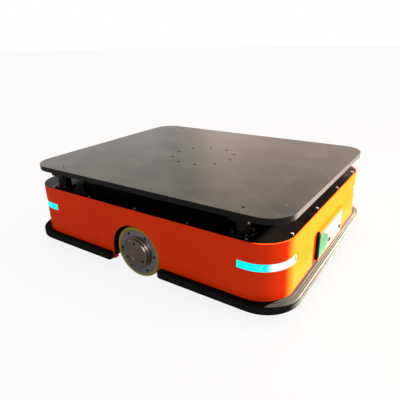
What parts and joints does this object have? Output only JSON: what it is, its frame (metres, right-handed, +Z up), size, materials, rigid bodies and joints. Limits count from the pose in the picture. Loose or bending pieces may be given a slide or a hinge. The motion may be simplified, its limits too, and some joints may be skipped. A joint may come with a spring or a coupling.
{
  "type": "lifting transfer robot",
  "caption": "Low rounded-corner transfer robot with two driven wheels, swivel casters, a wrap-round bumper and a screw-driven lifting platform.",
  "frame": {"origin": "centre of the footprint, on the ground", "axes": "+X along the body towards the end with the control panel, +Y to its left, +Z up"},
  "size_m": [0.94, 0.766, 0.284],
  "materials": {
    "body_orange": "semi-gloss powder coat",
    "deck_black": "gloss",
    "plate_black": "gloss black coat",
    "post_black": "satin black",
    "light_cyan": "diffusing, lit cyan",
    "bumper_rubber": "matt moulded",
    "rail_metal": "mill finish",
    "panel_mint": "gloss film",
    "button_green": "satin",
    "tyre_olive": "satin polyurethane",
    "hub_grey": "machined",
    "cap_dark": "machined, darkened",
    "frame_grey": "matt powder coat",
    "zinc_steel": "zinc plated",
    "motor_black": "satin black",
    "alloy_case": "bead blasted",
    "battery_blue": "matt",
    "belt_rubber": "matt",
    "bronze": "machined bronze",
    "caster_grey": "satin polyurethane"
  },
  "bodies": {
    "chassis": {"base_plate": "frame_grey", "end_frame_front": "frame_grey", "end_frame_rear": "frame_grey", "drive_bracket_left": "frame_grey", "drive_bracket_right": "frame_grey", "lift_base": "frame_grey", "deck_standoffs": "zinc_steel", "deck_screws": "zinc_steel", "caster_mounts": "zinc_steel", "deck_plate": "deck_black", "guide_bushes": "post_black", "shell_left": "body_orange", "shell_right": "body_orange", "panel_housing": "body_orange", "light_strip_front_left": "light_cyan", "light_strip_front_right": "light_cyan", "light_strip_rear_left": "light_cyan", "light_strip_rear_right": "light_cyan", "bumper_front": "bumper_rubber", "bumper_rear": "bumper_rubber", "bumper_rail_front": "rail_metal", "bumper_rail_rear": "rail_metal", "panel_face": "panel_mint", "battery_pack": "battery_blue", "controller_box": "alloy_case", "drive_gearbox_left": "alloy_case", "drive_gearbox_right": "alloy_case", "motor_driver": "motor_black", "drive_motor_left": "motor_black", "drive_motor_right": "motor_black", "lift_motor": "motor_black", "lift_belt": "belt_rubber"},
    "platform": {"top_plate": "plate_black", "lift_frame": "plate_black", "lift_tube": "frame_grey", "lift_nut": "bronze", "guide_posts": "post_black", "plate_screws": "post_black"},
    "lift_screw": {"lift_screw": "zinc_steel", "screw_pulley": "zinc_steel"},
    "motor_pulley": {"motor_pulley": "zinc_steel"},
    "button_start": {"button_start": "button_green"},
    "button_stop": {"button_stop": "button_green"},
    "wheel_left": {"drive_axle_left": "zinc_steel", "drive_hub_left": "hub_grey", "drive_tyre_left": "tyre_olive", "hub_cap_left": "cap_dark"},
    "wheel_right": {"drive_axle_right": "zinc_steel", "drive_hub_right": "hub_grey", "drive_tyre_right": "tyre_olive", "hub_cap_right": "cap_dark"},
    "caster_front_left": {"caster_fork_front_left": "zinc_steel"},
    "caster_wheel_front_left": {"caster_wheel_front_left": "caster_grey"},
    "caster_front_right": {"caster_fork_front_right": "zinc_steel"},
    "caster_wheel_front_right": {"caster_wheel_front_right": "caster_grey"},
    "caster_rear_left": {"caster_fork_rear_left": "zinc_steel"},
    "caster_wheel_rear_left": {"caster_wheel_rear_left": "caster_grey"},
    "caster_rear_right": {"caster_fork_rear_right": "zinc_steel"},
    "caster_wheel_rear_right": {"caster_wheel_rear_right": "caster_grey"}
  },
  "joints": [
    {"name": "platform_lift", "type": "slide", "parent": "chassis", "child": "platform", "axis": [0, 0, 1], "range_m": [-0.03, 0]},
    {"name": "screw_spin", "type": "hinge", "parent": "chassis", "child": "lift_screw", "pos_m": [0, 0, 0.06], "axis": [0, 0, 1], "range_deg": [-2160, 0]},
    {"name": "motor_pulley_spin", "type": "hinge", "parent": "chassis", "child": "motor_pulley", "pos_m": [0.11, 0, 0.083], "axis": [0, 0, 1], "range_deg": [-2160, 0]},
    {"name": "button_start_press", "type": "slide", "parent": "chassis", "child": "button_start", "axis": [-1, 0, 0], "range_m": [0, 0.002], "stiffness_N_per_m": 400},
    {"name": "button_stop_press", "type": "slide", "parent": "chassis", "child": "button_stop", "axis": [-1, 0, 0], "range_m": [0, 0.002], "stiffness_N_per_m": 400},
    {"name": "wheel_left_spin", "type": "hinge", "parent": "chassis", "child": "wheel_left", "pos_m": [0, 0.3325, 0.08], "axis": [0, 1, 0], "continuous": true},
    {"name": "wheel_right_spin", "type": "hinge", "parent": "chassis", "child": "wheel_right", "pos_m": [0, -0.3325, 0.08], "axis": [0, 1, 0], "continuous": true},
    {"name": "caster_front_left_swivel", "type": "hinge", "parent": "chassis", "child": "caster_front_left", "pos_m": [0.35, 0.24, 0.09], "axis": [0, 0, 1], "continuous": true},
    {"name": "caster_front_left_roll", "type": "hinge", "parent": "caster_front_left", "child": "caster_wheel_front_left", "pos_m": [0.324, 0.24, 0.0375], "axis": [0, 1, 0], "continuous": true},
    {"name": "caster_front_right_swivel", "type": "hinge", "parent": "chassis", "child": "caster_front_right", "pos_m": [0.35, -0.24, 0.09], "axis": [0, 0, 1], "continuous": true},
    {"name": "caster_front_right_roll", "type": "hinge", "parent": "caster_front_right", "child": "caster_wheel_front_right", "pos_m": [0.324, -0.24, 0.0375], "axis": [0, 1, 0], "continuous": true},
    {"name": "caster_rear_left_swivel", "type": "hinge", "parent": "chassis", "child": "caster_rear_left", "pos_m": [-0.35, 0.24, 0.09], "axis": [0, 0, 1], "continuous": true},
    {"name": "caster_rear_left_roll", "type": "hinge", "parent": "caster_rear_left", "child": "caster_wheel_rear_left", "pos_m": [-0.376, 0.24, 0.0375], "axis": [0, 1, 0], "continuous": true},
    {"name": "caster_rear_right_swivel", "type": "hinge", "parent": "chassis", "child": "caster_rear_right", "pos_m": [-0.35, -0.24, 0.09], "axis": [0, 0, 1], "continuous": true},
    {"name": "caster_rear_right_roll", "type": "hinge", "parent": "caster_rear_right", "child": "caster_wheel_rear_right", "pos_m": [-0.376, -0.24, 0.0375], "axis": [0, 1, 0], "continuous": true}
  ],
  "couplings": [
    {"joint": "screw_spin", "follows": "platform_lift", "rad_per_m": 1256.6},
    {"joint": "motor_pulley_spin", "follows": "platform_lift", "rad_per_m": 1256.6}
  ]
}
